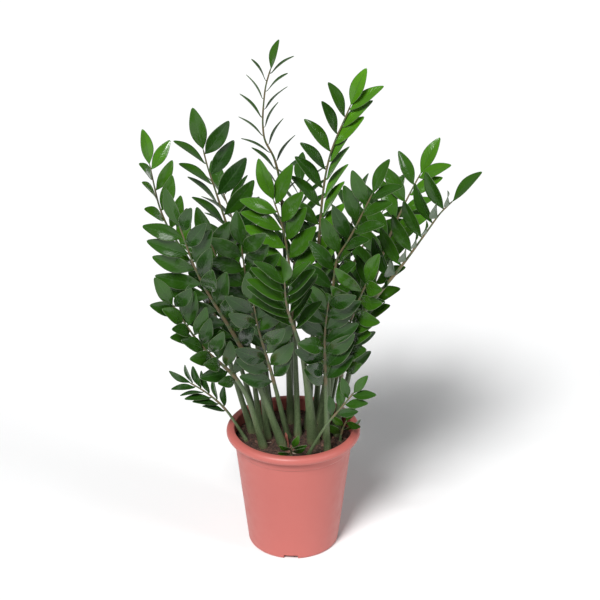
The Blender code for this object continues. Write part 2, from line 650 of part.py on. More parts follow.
def draw_end_leaflet(shape, face, leaflet):
    """Draws the stem's end out into the leaflet that ends it."""
    across = leaflet.along.cross(leaflet.up) / math.cos(corner_angle(0))
    for share, width in LEAFLET_OUTLINE:
        corners = []
        for side in range(STEM_SIDES):
            angle = corner_angle(side)
            flat = across * math.cos(angle) * leaflet.width * width / 2
            thick = leaflet.up * math.sin(angle) * LEAFLET_THICKNESS / 2
            corners.append(blade_middle(leaflet, share) + flat + thick)
        face = extrude_to(shape, face, corners)
    bmesh.ops.poke(shape, faces=[face])["verts"][0].co = leaflet.root + leaflet.along * leaflet.length


def make_frond(stem, placed, parts, material):
    shape = bmesh.new()
    rings, end = grow_stem(shape, stem)
    for (name, segment, side), leaflet in placed.items():
        if name != stem.frond.name:
            continue
        if side == 0:
            draw_end_leaflet(shape, end, leaflet)
            continue
        first = 0 if side > 0 else STEM_SIDES // 2
        low, high = rings[segment], rings[segment + 1]
        corners = {low[first], low[first + 1], high[first], high[first + 1]}
        face = next(face for face in low[first].link_faces if set(face.verts) == corners)
        draw_leaflet(shape, face, leaflet)
    bmesh.ops.triangulate(shape, faces=shape.faces)
    mesh = mesh_from(shape, stem.frond.name)
    shade_round(mesh)
    add_object(stem.frond.name, mesh, parts, material)


# Dry sheath

def make_sheath(stem, parts, material):
    """The papery bract that wraps the inner side of a stem's foot."""
    shape = bmesh.new()
    bmesh.ops.create_grid(shape, x_segments=6, y_segments=3, size=0.5)
    foot, lean = stem.points[1], stem.points[2] - stem.points[1]
    for vert in shape.verts:
        high = vert.co.y + 0.5
        angle = math.radians(SHEATH_START + SHEATH_SPREAD * vert.co.x * (1 - SHEATH_POINTED * high))
        radius = stem.radii[1] + SHEATH_OFF_STEM + SHEATH_FLARE * high**2
        centre = foot + lean * (high * SHEATH_HEIGHT / lean.z) + Vector((0, 0, GAP))
        vert.co = centre + radius * Vector((math.cos(angle), math.sin(angle), 0))
    obj = add_object("dry_sheath", mesh_from(shape, "dry_sheath"), parts, material)
    solid = obj.modifiers.new("thickness", "SOLIDIFY")
    solid.thickness = SHEATH_THICKNESS
    solid.offset = 1.0


def main():
    clear_scene()
    parts = new_collection("potted_zz_plant")
    cutters = new_collection("cutters")
    plastic = new_material("terracotta_plastic", (0.50, 0.125, 0.100), 0.45)
    peat = new_material("potting_soil", (0.045, 0.026, 0.017), 0.95)
    leaf = new_material("zz_leaf", (0.020, 0.085, 0.020), 0.28)
    husk = new_material("dry_husk", (0.34, 0.12, 0.09), 0.80)
    stems = [plan_stem(frond, foot) for frond, foot in zip(FRONDS, place_feet())]
    make_pot(parts, cutters, plastic)
    make_soil(parts, cutters, peat, stems)
    placed = place_leaflets(stems)
    for stem in stems:
        make_frond(stem, placed, parts, leaf)
    make_sheath(next(stem for stem in stems if stem.frond.name == SHEATHED), parts, husk)


main()
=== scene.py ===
"""Looks of the potted ZZ plant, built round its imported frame. Metres, +Z up, and -Y is the front."""

import math
import random
from collections import namedtuple

import bmesh
import bpy
from mathutils import Matrix, Vector, noise
from mathutils.kdtree import KDTree


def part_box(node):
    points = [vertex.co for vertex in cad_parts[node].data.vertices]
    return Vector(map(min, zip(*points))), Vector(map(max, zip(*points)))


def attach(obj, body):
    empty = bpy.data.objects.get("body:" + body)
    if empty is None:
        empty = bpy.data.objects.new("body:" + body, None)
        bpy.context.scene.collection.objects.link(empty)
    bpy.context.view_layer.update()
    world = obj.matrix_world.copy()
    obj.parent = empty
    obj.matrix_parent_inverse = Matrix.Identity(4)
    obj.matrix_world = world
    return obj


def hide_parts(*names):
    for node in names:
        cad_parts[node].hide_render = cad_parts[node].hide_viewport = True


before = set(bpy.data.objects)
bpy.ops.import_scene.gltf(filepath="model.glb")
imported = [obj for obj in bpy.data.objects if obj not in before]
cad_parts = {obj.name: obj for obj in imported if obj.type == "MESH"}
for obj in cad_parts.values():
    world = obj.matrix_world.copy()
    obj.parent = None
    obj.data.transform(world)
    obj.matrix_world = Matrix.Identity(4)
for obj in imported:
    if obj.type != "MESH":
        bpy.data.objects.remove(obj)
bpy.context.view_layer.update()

# Camera: stands in front of the plant at eye height, and looks a little down on it. The lens is
# long, so the pot's sides keep their true taper.
viewer = bpy.data.objects.new("viewer", bpy.data.cameras.new("viewer"))
viewer.data.sensor_width = 36.0
viewer.data.lens = 93.3
viewer.location = (0.012, -2.44, 1.60)
viewer.rotation_euler = (math.radians(65.3), 0.0, 0.0)
bpy.context.scene.collection.objects.link(viewer)
bpy.context.scene.camera = viewer


# Pot: a terracotta-coloured nursery pot, injection-moulded in thin polypropylene. A rolled rim
# stiffens its mouth, and a step under the rim lets empty pots stack. It stands on a foot ring,
# notched so that water gets away from the drain holes in the raised channel inside it.
pot_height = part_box("pot")[1].z
rim_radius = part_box("pot")[1].x
rim_roll = 0.0078
rim_overhang = 0.013
neck_fillet = 0.0008
lip_round = 0.0035
lip_inset = 0.0015
wall = 0.002
step_drop = 0.018
step_depth = 0.0025
step_round = 0.0004
step_rise = 0.001
foot_radius = 0.0822
foot_width = 0.0075
foot_round = 0.005
channel_round = 0.0006
channel_height = 0.008
base_thickness = 0.0025
pad_radius = 0.050
pad_slope = 0.006
notch_width = 0.026
notch_count = 4
notch_turn = -3.3
notch_slope = 0.0008
notch_margin = 0.0006
notch_drop = 0.0002
drain_radius = 0.005
drain_count = 8
turn_steps = 144

roll_base = pot_height - 2 * rim_roll
step_height = roll_base - step_drop
neck_radius = rim_radius - rim_overhang
drain_ring = (pad_radius + foot_radius) / 2


def wall_radius(height):
    """Outer radius of the tapered wall, from the foot up to the stacking step."""
    top = neck_radius - step_depth
    return foot_radius + (top - foot_radius) * height / step_height


def arc(centre, radius, start, end, steps):
    """Points of an arc in the (radius, height) plane, angles in degrees from the outward side."""
    angles = [math.radians(start + (end - start) * i / steps) for i in range(steps + 1)]
    return [(centre[0] + radius * math.cos(a), centre[1] + radius * math.sin(a)) for a in angles]


def turn_profile(shape, profile, steps):
    """Spins a profile of (radius, height) points right round the Z axis."""
    points = [shape.verts.new((radius, 0.0, height)) for radius, height in profile]
    edges = [shape.edges.new(pair) for pair in zip(points, points[1:])]
    bmesh.ops.spin(shape, geom=points + edges, cent=(0, 0, 0), axis=(0, 0, 1),
                   angle=math.tau, steps=steps, use_merge=True)
    bmesh.ops.remove_doubles(shape, verts=shape.verts, dist=0.00002)


def pot_profile():
    """The pot's section, from the rim down the outside and up the inside, back to the rim."""
    roll = arc((rim_radius - rim_roll, pot_height - rim_roll), rim_roll, 90, -90, 14)
    neck = arc((neck_radius + neck_fillet, roll_base - neck_fillet), neck_fillet, 90, 180, 3)
    step_top = step_height + step_depth
    step = [(neck_radius, step_top + step_rise), (neck_radius - step_round, step_top)]
    step += [(wall_radius(step_height) + step_round, step_height + step_round)]
    outside = [(wall_radius(step_height * i / 8), step_height * i / 8) for i in range(8, 0, -1)]
    foot = arc((wall_radius(foot_round) - foot_round, foot_round), foot_round, 0, -90, 6)
    channel = foot_radius - foot_width
    under = [(channel + channel_round, 0.0), (channel, channel_round), (channel, channel_height)]
    under += [(drain_ring + drain_radius * i / 2, channel_height) for i in range(2, -3, -1)]
    under += [(pad_radius + pad_slope, channel_height), (pad_radius, 0.0), (0.0, 0.0)]
    top = channel_height + base_thickness
    within = [(0.0, base_thickness), (pad_radius - wall, base_thickness)]
    within += [(pad_radius + pad_slope - wall, top)]
    within += [(drain_ring + drain_radius * i / 2, top) for i in range(-2, 3)]
    within += [(wall_radius(top) - wall, top)]
    within += [(wall_radius(step_height * i / 4) - wall, step_height * i / 4) for i in range(1, 5)]
    within += [(neck_radius - wall, step_top), (neck_radius - wall, roll_base)]
    lip = arc((neck_radius + lip_inset, pot_height - lip_round), lip_round, 180, 95, 5)
    return roll + neck + step + outside + foot + under + within + lip + [roll[0]]


def cut_notch(shape, angle):
    """Raises the foot ring to the height of the channel inside it, between two steep sides."""
    across = Vector((math.cos(angle), math.sin(angle), 0.0))
    outward = Vector((math.sin(angle), -math.cos(angle), 0.0))

    def ring_faces():
        return [f for f in shape.faces if f.calc_center_median().z < channel_height + base_thickness
                and f.calc_center_median().dot(outward) > pad_radius + pad_slope]

    half = notch_width / 2
    for shift in (-half, notch_slope - half, half - notch_slope, half):
        faces = ring_faces()
        near = set(faces) | {e for f in faces for e in f.edges} | {v for f in faces for v in f.verts}
        bmesh.ops.bisect_plane(shape, geom=list(near), dist=0.00001, plane_co=across * shift,
                               plane_no=across)
    for vert in {v for f in ring_faces() for v in f.verts}:
        if abs(vert.co.dot(across)) < half - notch_margin and vert.co.z < channel_height:
            vert.co.z = channel_height - notch_drop


def cut_drain_hole(shape, angle):
    """Opens the channel's roof, and joins its two skins round the hole."""
    middle = Vector((math.cos(angle), math.sin(angle), 0.0)) * drain_ring

    def flat_distance(point):
        return math.hypot(point.x - middle.x, point.y - middle.y)

    roof = [f for f in shape.faces if flat_distance(f.calc_center_median()) < drain_radius * 1.05
            and abs(f.normal.z) > 0.9 and f.calc_center_median().z < channel_height + 2 * base_thickness]
    rim = [e for e in {e for f in roof for e in f.edges} if sum(f in roof for f in e.link_faces) == 1]
    bmesh.ops.delete(shape, geom=roof, context="FACES")
    for vert in {v for e in rim for v in e.verts}:
        away = Vector((vert.co.x - middle.x, vert.co.y - middle.y, 0.0)).normalized()
        vert.co = Vector((middle.x, middle.y, vert.co.z)) + away * drain_radius
    bmesh.ops.bridge_loops(shape, edges=rim)


def finish_shape(shape, name, sharp=35.0):
    """Makes an object from a mesh in the making, with smooth faces and sharp folds."""
    mesh = bpy.data.meshes.new(name)
    shape.to_mesh(mesh)
    shape.free()
    mesh.shade_smooth()
    mesh.set_sharp_from_angle(angle=math.radians(sharp))
    piece = bpy.data.objects.new(name, mesh)
    bpy.context.scene.collection.objects.link(piece)
    return piece


def add_node(tree, kind, inputs=None, **settings):
    """Adds a shader node. Each input is a value, or another node's output to link to it."""
    node = tree.nodes.new("ShaderNode" + kind)
    for name, value in settings.items():
        setattr(node, name, value)
    for name, value in (inputs or {}).items():
        if isinstance(value, bpy.types.NodeSocket):
            tree.links.new(value, node.inputs[name])
        else:
            node.inputs[name].default_value = value
    return node


def mix_colours(tree, share, first, second):
    """A colour between two, each given as a colour or as another node's output."""
    mix = tree.nodes.new("ShaderNodeMix")
    mix.data_type = "RGBA"
    for name, value in (("Factor_Float", share), ("A_Color", first), ("B_Color", second)):
        socket = next(s for s in mix.inputs if s.identifier == name)
        if isinstance(value, bpy.types.NodeSocket):
            tree.links.new(value, socket)
        else:
            socket.default_value = value
    return next(s for s in mix.outputs if s.identifier == "Result_Color")


def new_material(name, roughness):
    """A material with a Principled shader. Returns the material, its tree and its shader."""
    material = bpy.data.materials.new(name)
    material.use_nodes = True
    shader = material.node_tree.nodes["Principled BSDF"]
    shader.inputs["Roughness"].default_value = roughness
    return material, material.node_tree, shader


def new_mottle():
    """Node group: a soft patchy mask from 0 to 1, for uneven colour and for bump."""
    group = bpy.data.node_groups.new("mottle", "ShaderNodeTree")
    for name, kind, value in (("Vector", "NodeSocketVector", None), ("Scale", "NodeSocketFloat", 50.0),
                              ("Detail", "NodeSocketFloat", 3.0), ("Contrast", "NodeSocketFloat", 2.0)):
        socket = group.interface.new_socket(name=name, in_out="INPUT", socket_type=kind)
        if value is not None:
            socket.default_value = value
    group.interface.new_socket(name="Mask", in_out="OUTPUT", socket_type="NodeSocketFloat")
    given = group.nodes.new("NodeGroupInput")
    cloud = add_node(group, "TexNoise", {"Vector": given.outputs["Vector"], "Scale": given.outputs["Scale"],
                                         "Detail": given.outputs["Detail"]})
    centred = add_node(group, "Math", {0: cloud.outputs["Fac"], 1: 0.5}, operation="SUBTRACT")
    spread = add_node(group, "Math", {0: centred.outputs[0], 1: given.outputs["Contrast"], 2: 0.5},
                      operation="MULTIPLY_ADD", use_clamp=True)
    result = group.nodes.new("NodeGroupOutput")
    group.links.new(spread.outputs[0], result.inputs["Mask"])
    return group


mottle = new_mottle()


def add_mottle(tree, vector, scale, detail=3.0, contrast=2.0):
    """A mottle group node in a material. Returns its mask."""
    node = tree.nodes.new("ShaderNodeGroup")
    node.node_tree = mottle
    tree.links.new(vector, node.inputs["Vector"])
    node.inputs["Scale"].default_value = scale
    node.inputs["Detail"].default_value = detail
    node.inputs["Contrast"].default_value = contrast
    return node.outputs["Mask"]


def stretched(tree, scale):
    """Object coordinates, drawn out along an axis by giving it a small scale."""
    place = tree.nodes.new("ShaderNodeTexCoord")
    mapping = add_node(tree, "Mapping", {"Vector": place.outputs["Object"], "Scale": scale})
    return mapping.outputs["Vector"]


def new_plastic():
    """Satin terracotta polypropylene: flow marks down the wall, faint scuffs and a fine grain."""
    material, tree, shader = new_material("terracotta_plastic", 0.42)
    place = stretched(tree, (1.0, 1.0, 1.0))
    down = stretched(tree, (1.0, 1.0, 0.16))
    flow = add_mottle(tree, down, 22.0, 3.0, 1.6)
    clouds = add_mottle(tree, place, 9.0, 2.0, 1.4)
    colour = mix_colours(tree, clouds, (0.450, 0.112, 0.095, 1.0), (0.510, 0.138, 0.118, 1.0))
    colour = mix_colours(tree, flow, colour, (0.480, 0.124, 0.104, 1.0))
    tree.links.new(colour, shader.inputs["Base Color"])
    scuffs = add_mottle(tree, place, 60.0, 4.0, 2.5)
    dull = add_node(tree, "MapRange", {"Value": scuffs, "To Min": 0.36, "To Max": 0.50})
    tree.links.new(dull.outputs["Result"], shader.inputs["Roughness"])
    grain = add_mottle(tree, place, 900.0, 2.0, 1.0)
    bump = add_node(tree, "Bump", {"Strength": 0.12, "Distance": 0.0003, "Height": grain})
    tree.links.new(bump.outputs["Normal"], shader.inputs["Normal"])
    return material


shape = bmesh.new()
turn_profile(shape, pot_profile(), turn_steps)
bmesh.ops.recalc_face_normals(shape, faces=shape.faces)
for i in range(notch_count):
    cut_notch(shape, math.radians(notch_turn) + math.tau * i / notch_count)
bmesh.ops.remove_doubles(shape, verts=shape.verts, dist=0.00002)
for i in range(drain_count):
    cut_drain_hole(shape, math.tau * (i + 0.5) / drain_count)
pot = finish_shape(shape, "nursery_pot")
pot.data.materials.append(new_plastic())
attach(pot, "root")
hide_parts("pot")


# Stems: each frond of a ZZ plant is one compound leaf, and what looks like a stem is its stalk. It
# is fleshy, swollen where it leaves the soil, and tapers to a wiry end between the leaflets. Grey
# green, streaked lengthwise with pale streaks that are partly painted highlight, and with a reddish
# ring at each pair of leaflets.
# One row for each frond.
# route: points that its stalk passes through and ends at, measured from its foot.
# pairs: leaflets on each side. leaf: their size, against a full-grown one.
# bare: share of the stalk below the first leaflet. girth: radius at the foot.
# face: heading of the side that both rows of leaflets look to, in degrees, 0 to the front and 90 to +X.
# angle: between the stalk and the leaflets of the left and of the right row.
# roll: how far each row turns edge on to the face. lift: how far both rows rise towards the face.
# youth: how new the left and the right row are, from 0, old and dark, to 1, just opened. It also
# carries painted backlight: a row much paler than its partner is drawn yellow-green as if lit from behind.
Frond = namedtuple("Frond", "name route pairs leaf bare girth face angle roll lift youth")
fronds = (
    Frond("frond_tallest",
          ((-0.016, 0.022, 0.440), (-0.045, 0.027, 0.545), (-0.042, 0.027, 0.625), (-0.032, 0.027, 0.664)),
          9, 0.68, 0.57, 0.0080, 0, (38, 44), (98, 100), 6, (0.30, 0.15)),
    Frond("frond_upper_left",
          ((-0.050, 0.025, 0.280), (-0.096, 0.030, 0.450), (-0.115, 0.030, 0.515), (-0.117, 0.029, 0.532)),
          8, 1.00, 0.44, 0.0080, 12, (33, 52), (78, 8), 10, (0.28, 0.16)),
    Frond("frond_far_left",
          ((-0.076, -0.005, 0.280), (-0.141, -0.035, 0.430), (-0.162, -0.035, 0.530)),
          9, 0.80, 0.40, 0.0075, 50, (40, 40), (35, 35), 30, (0.70, 0.45)),
    Frond("frond_left",
          ((-0.060, -0.032, 0.190), (-0.132, -0.075, 0.355), (-0.164, -0.090, 0.460)),
          9, 0.94, 0.44, 0.0095, -12, (48, 44), (30, 20), 16, (0.20, 0.12)),
    Frond("frond_lower_left",
          ((-0.035, -0.035, 0.140), (-0.100, -0.077, 0.240), (-0.144, -0.105, 0.330)),
          9, 0.84, 0.44, 0.0085, 40, (38, 42), (30, 30), 36, (0.22, 0.16)),
    Frond("frond_leaning_forward",
          ((-0.019, -0.065, 0.200), (-0.045, -0.140, 0.330), (-0.049, -0.185, 0.400)),
          6, 0.92, 0.66, 0.0125, 180, (48, 48), (92, 92), 18, (0.30, 0.30)),
    Frond("frond_long_right",
          ((0.032, -0.018, 0.180), (0.082, -0.036, 0.272), (0.135, -0.048, 0.352),
           (0.196, -0.064, 0.455), (0.214, -0.068, 0.476)),
          10, 0.94, 0.40, 0.0095, -70, (60, 58), (14, 14), 50, (0.24, 0.16)),
    Frond("frond_upper_right",
          ((0.016, 0.005, 0.330), (0.032, 0.018, 0.500), (0.071, 0.020, 0.609)),
          11, 0.90, 0.42, 0.0080, 0, (50, 28), (46, 62), 10, (0.22, 0.85)),
    Frond("frond_right",
          ((0.011, -0.017, 0.330), (0.039, -0.029, 0.410), (0.073, -0.037, 0.490)),
          8, 0.88, 0.46, 0.0075, -25, (45, 40), (36, 50), 26, (0.20, 0.24)),
    Frond("frond_far_right",
          ((0.075, 0.020, 0.310), (0.115, 0.045, 0.410), (0.147, 0.060, 0.472)),
          9, 0.92, 0.40, 0.0080, -25, (52, 44), (24, 30), 24, (0.34, 0.62)),
    Frond("frond_inner_right",
          ((0.034, 0.020, 0.240), (0.079, 0.040, 0.340), (0.112, 0.050, 0.400)),
          8, 0.98, 0.40, 0.0075, -15, (50, 46), (26, 26), 22, (0.22, 0.20)),
    Frond("frond_inner_left",
          ((-0.026, -0.011, 0.220), (-0.061, -0.021, 0.320), (-0.081, -0.031, 0.385)),
          7, 0.98, 0.42, 0.0075, 10, (48, 48), (24, 30), 22, (0.18, 0.18)),
    Frond("frond_back_left",
          ((-0.029, 0.053, 0.250), (-0.069, 0.113, 0.350), (-0.089, 0.158, 0.390)),
          8, 0.92, 0.40, 0.0080, 30, (46, 46), (60, 60), 20, (0.16, 0.16)),
    Frond("frond_back",
          ((0.006, 0.055, 0.240), (0.016, 0.120, 0.340), (0.020, 0.175, 0.390)),
          8, 0.92, 0.40, 0.0080, 0, (46, 46), (60, 60), 20, (0.16, 0.16)),
    Frond("frond_back_right",
          ((0.020, 0.042, 0.220), (0.056, 0.104, 0.310), (0.078, 0.150, 0.360)),
          8, 0.92, 0.38, 0.0080, -30, (46, 46), (60, 60), 20, (0.16, 0.16)),
    Frond("frond_middle_left",
          ((-0.019, -0.024, 0.220), (-0.033, -0.054, 0.340), (-0.039, -0.076, 0.410)),
          8, 1.00, 0.40, 0.0080, -5, (45, 45), (35, 20), 20, (0.16, 0.16)),
    Frond("frond_middle",
          ((-0.008, 0.006, 0.250), (-0.022, 0.016, 0.380), (-0.042, 0.020, 0.450)),
          8, 1.02, 0.42, 0.0080, 0, (52, 48), (40, 36), 14, (0.62, 0.40)),
    Frond("frond_middle_right",
          ((0.009, -0.044, 0.200), (0.025, -0.084, 0.290), (0.043, -0.114, 0.355)),
          7, 0.98, 0.36, 0.0080, -25, (50, 46), (20, 30), 30, (0.42, 0.36)),
    Frond("frond_front_left",
          ((-0.028, -0.056, 0.160), (-0.048, -0.094, 0.260), (-0.056, -0.119, 0.325)),
          7, 0.98, 0.42, 0.0075, 0, (40, 40), (35, 25), 16, (0.16, 0.16)),
    Frond("frond_front_right",
          ((-0.005, -0.016, 0.150), (-0.007, -0.040, 0.250), (-0.001, -0.059, 0.320)),
          7, 0.94, 0.42, 0.0075, 10, (44, 44), (30, 35), 20, (0.16, 0.16)),
    Frond("frond_side_right",
          ((0.021, -0.017, 0.120), (0.025, -0.033, 0.200), (0.037, -0.039, 0.262)),
          6, 0.86, 0.34, 0.0070, 15, (52, 54), (50, 25), 12, (0.16, 0.16)),
    Frond("frond_side_left",
          ((-0.051, 0.025, 0.180), (-0.095, 0.045, 0.270), (-0.120, 0.055, 0.330)),
          7, 0.90, 0.40, 0.0075, 60, (45, 45), (40, 40), 26, (0.16, 0.16)),
    Frond("frond_low_left",
          ((-0.035, 0.003, 0.060), (-0.069, 0.009, 0.092), (-0.101, 0.013, 0.112)),
          5, 0.56, 0.44, 0.0045, 10, (38, 40), (75, 40), 22, (0.10, 0.10)),
    Frond("frond_low_right",
          ((0.031, -0.017, 0.070), (0.060, -0.027, 0.115), (0.079, -0.035, 0.146)),
          3, 0.60, 0.58, 0.0045, -20, (40, 38), (40, 30), 16, (0.26, 0.22)),
    Frond("shoot_front",
          ((-0.002, -0.001, 0.012), (-0.001, -0.004, 0.020), (0.002, -0.007, 0.028)),
          2, 0.44, 0.30, 0.0035, 0, (50, 50), (10, 10), 30, (0.30, 0.30)),
    Frond("shoot_right",
          ((0.002, -0.001, 0.022), (0.007, -0.003, 0.036), (0.011, -0.005, 0.048)),
          2, 0.55, 0.30, 0.0035, 0, (50, 50), (10, 10), 25, (0.30, 0.30)),
)
Stem = namedtuple("Stem", "frond points radii first_leaflet")

soil_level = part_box("soil")[1].z
socket_depth = 0.020
plant_height = 0.664
stalk_sections = 4
stem_tip_radius = 0.0013
stem_neck = 0.86
stem_taper = 1.5
stem_sides = 10
foot_swelling = 1.10
foot_swelling_height = 0.007
joint_swelling = 1.10
bare_steps = (0.35, 0.7)
foot_redness, swelling_redness = 0.6, 0.25
stem_end_narrowing = 0.8
leaflet_starts = (0.28, 0.72)
curve_samples = 80


def inner_radius(height):
    """Radius of the pot's hollow, which widens at the stacking step."""
    if height <= step_height:
        return wall_radius(height) - wall
    wider = neck_radius - wall_radius(step_height)
    return wall_radius(step_height) - wall + wider * min(1.0, (height - step_height) / step_depth)


def spline_point(points, t):
    """A point of the smooth curve through the points, t running from 0 to 1 between each two."""
    i = min(int(t), len(points) - 2)
    u = t - i
    before = points[i - 1] if i > 0 else 2 * points[0] - points[1]
    after = points[i + 2] if i + 2 < len(points) else 2 * points[-1] - points[-2]
    start, end = points[i], points[i + 1]
    bend = 2 * before - 5 * start + 4 * end - after
    twist = 3 * start - before - 3 * end + after
    return 0.5 * (2 * start + (end - before) * u + bend * u**2 + twist * u**3)


def evenly(points, shares):
    """Points at the given shares of the length of the smooth curve through the points."""
    spans = len(points) - 1
    fine = [spline_point(points, spans * i / curve_samples) for i in range(curve_samples + 1)]
    lengths = [0.0]
    for i in range(curve_samples):
        lengths.append(lengths[-1] + (fine[i + 1] - fine[i]).length)
    found = []
    for share in shares:
        target = share * lengths[-1]
        i = max(j for j in range(curve_samples) if lengths[j] <= target)
        found.append(fine[i].lerp(fine[i + 1], (target - lengths[i]) / (lengths[i + 1] - lengths[i])))
    return found


def foot_of(node):
    """Where a frond leaves the soil: above the middle of its solid's lowest corners."""
    corners = [corner.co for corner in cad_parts[node].data.vertices]
    bottom = min(corner.z for corner in corners)
    lowest = [corner for corner in corners if corner.z < bottom + 0.0001]
    return sum(lowest, Vector()) / len(lowest) + Vector((0, 0, socket_depth))


def plan_stem(frond):
    """Centre points and radii of a stalk's sections, from the buried foot up to its end."""
    foot = foot_of(frond.name)
    route = [foot] + [foot + Vector(point) for point in frond.route]
    shares = [frond.bare * i / stalk_sections for i in range(stalk_sections)]
    shares += [frond.bare + (1 - frond.bare) * i / frond.pairs for i in range(frond.pairs + 1)]
    points = [foot - Vector((0, 0, socket_depth)), foot] + evenly(route, shares[1:])
    radii = [frond.girth, frond.girth]
    thicker = frond.girth * stem_neck - stem_tip_radius
    radii += [stem_tip_radius + thicker * (1 - share) ** stem_taper for share in shares[1:]]
    return Stem(frond, points, radii, len(points) - frond.pairs - 1)


def section_axes(stem, i):
    """Direction, right side and face of a stalk at section i."""
    points = stem.points
    if i <= 1:
        along = Vector((0, 0, 1))
    else:
        along = (points[min(i + 1, len(points) - 1)] - points[i - 1]).normalized()
    heading = math.radians(stem.frond.face)
    face = Vector((math.sin(heading), -math.cos(heading), 0.0))
    right = along.cross(face).normalized()
    return along, right, right.cross(along)


def stalk_rings(stem):
    """Centre, direction, radius and reddening of each ring that the stalk is drawn through."""
    points, radii = stem.points, stem.radii
    up = Vector((0, 0, 1))
    rings = [(points[0], up, radii[0], 0.0), (points[1], up, radii[1], foot_redness)]
    swollen = points[1].lerp(points[2], foot_swelling_height / (points[2] - points[1]).length)
    rings.append((swollen, up, radii[1] * foot_swelling, swelling_redness))
    for i in range(1, len(points) - 1):
        steps = bare_steps if i < stem.first_leaflet else leaflet_starts
        if i > 1:
            rings.append((points[i], section_axes(stem, i)[0], radii[i], 0.0))
        for share in steps:
            t = i - 1 + share
            centre = spline_point(points[1:], t)
            along = (spline_point(points[1:], t + 0.05) - spline_point(points[1:], t - 0.05)).normalized()
            radius = radii[i] + (radii[i + 1] - radii[i]) * share
            if i < stem.first_leaflet:
                rings.append((centre, along, radius, 0.0))
            else:
                rings.append((centre, along, radius * joint_swelling, 1.0))
    end_along = section_axes(stem, len(points) - 1)[0]
    rings.append((points[-1], end_along, radii[-1] * stem_end_narrowing, 0.0))
    return rings


def grow_stalk(shape, stem, marks):
    """Draws a ring of vertices up through the stalk's rings, and closes both ends."""
    made = bmesh.ops.create_circle(shape, cap_ends=False, segments=stem_sides, radius=1.0)
    ring = made["verts"]
    edges = list({e for v in ring for e in v.link_edges})
    shape.faces.new(reversed(ring))
    bottom_to_top = stalk_rings(stem)
    length = 0.0
    before = bottom_to_top[0][0]
    turns = [math.tau * i / stem_sides for i in range(stem_sides)]
    unit = [Vector((math.cos(turn), math.sin(turn))) for turn in turns]
    for count, (centre, along, radius, reddening) in enumerate(bottom_to_top):
        if count:
            drawn = bmesh.ops.extrude_edge_only(shape, edges=edges)["geom"]
            edges = [e for e in drawn if isinstance(e, bmesh.types.BMEdge)]
            old = ring
            new = {v for e in edges for v in e.verts}
            ring = [next(e.other_vert(v) for e in v.link_edges if e.other_vert(v) in new) for v in old]
        heading = math.radians(stem.frond.face)
        right = along.cross(Vector((math.sin(heading), -math.cos(heading), 0.0))).normalized()
        face = right.cross(along)
        length += (centre - before).length
        before = centre
        for vert, direction in zip(ring, unit):
            vert.co = centre + (right * direction.x + face * direction.y) * radius
            vert[marks["reddening"]] = reddening
            vert[marks["height"]] = (centre.z - soil_level) / plant_height
    shape.faces.new(ring)


# Leaflets: thick, waxy and glossy, folded a little along the midrib and arched from stalk to tip.
# Each grows from the stalk's side on a short stub, in a left and a right row, and one ends the frond.
# They settle clear of each other as they open, so each lies as the frame's solid of its frond does.
Leaflet = namedtuple("Leaflet", "root along up length width")

leaflet_size = 0.090
leaflet_width = 0.375
leaflet_stalk = 0.0015
leaflet_arch = 0.05
end_leaflet_size = 0.86
end_turn = 0.5
first_smaller, last_smaller = 0.16, 0.16
# Ways that a leaflet can lie: sideways, up and about its own length, in degrees.
leans = (
    (0, 0, 0), (0, 12, 0), (0, -12, 0), (11, 0, 0), (-11, 0, 0), (0, 0, 25), (0, 0, -25),
    (9, 22, 15), (-9, 22, -15), (9, -22, 15), (-9, -22, -15), (0, 34, 0), (0, -34, 0),
    (-18, 12, 30), (18, 12, -30), (-18, -12, -30), (18, -12, 30), (-12, 44, 20), (-12, -44, -20),
)
sizes = (1.0, 0.9, 0.8, 0.7, 0.6, 0.5, 0.4, 0.3, 0.2, 0.12)
size_range = (0.92, 1.06)
sway = (6, 7, 12)
blade_thickness = 0.0010
blade_rows = 9
blade_columns = 4
blade_fold = 0.24
stub_width = 0.0026
twist_range = 14
twist_start = 0.3
youth_spread = 0.10
youth_at_tip = 0.10


def leaflet_at(stem, segment, side, stray, lean, size):
    """A leaflet on one side of a stalk's segment. side is 1 on the right and -1 on the left."""
    frond = stem.frond
    row = 0 if side < 0 else 1
    along, right, face = section_axes(stem, segment)
    angle = math.radians(frond.angle[row] + lean[0] + stray[0])
    rise = math.radians(frond.lift + lean[1] + stray[1])
    roll = math.radians(frond.roll[row] + lean[2] + stray[2])
    outward = side * math.cos(rise) * right + math.sin(rise) * face
    direction = (math.cos(angle) * along + math.sin(angle) * outward).normalized()
    flat = (face - direction * face.dot(direction)).normalized()
    up = Matrix.Rotation(-side * roll, 3, direction) @ flat
    rank = (segment - stem.first_leaflet) / max(1, frond.pairs - 1)
    full = leaflet_size * frond.leaf * stray[3]
    full *= 1.0 - last_smaller * rank**2 - first_smaller * (1 - rank) ** 3
    start = stem.points[segment].lerp(stem.points[segment + 1], leaflet_starts[row])
    root = start + outward * (stem.radii[segment] + leaflet_stalk)
    return Leaflet(root, direction, up.normalized(), full * size, full * size * leaflet_width)


def end_leaflet(stem, size):
    along, _, face = section_axes(stem, len(stem.points) - 1)
    turn = Matrix.Rotation(-math.radians(stem.frond.roll[1] * end_turn), 3, along)
    length = leaflet_size * stem.frond.leaf * end_leaflet_size * size
    return Leaflet(stem.points[-1], along, turn @ face, length, length * leaflet_width)


def as_in_frame(corners, tries):
    """The leaflet among the tries whose tip is nearest to a corner of the frond's solid."""
    return min(tries, key=lambda leaflet: corners.find(leaflet.root + leaflet.along * leaflet.length)[2])


def corners_of(node):
    """The frame solid's corners, in a tree that finds the nearest one."""
    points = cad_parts[node].data.vertices
    tree = KDTree(len(points))
    for i, point in enumerate(points):
        tree.insert(point.co, i)
    tree.balance()
    return tree


def blade_outline(share):
    """Half-width of a leaflet at a share of its length, against its greatest half-width."""
    return math.sin(math.pi * share**0.88) ** 0.9 if 0.0 < share < 1.0 else 0.0


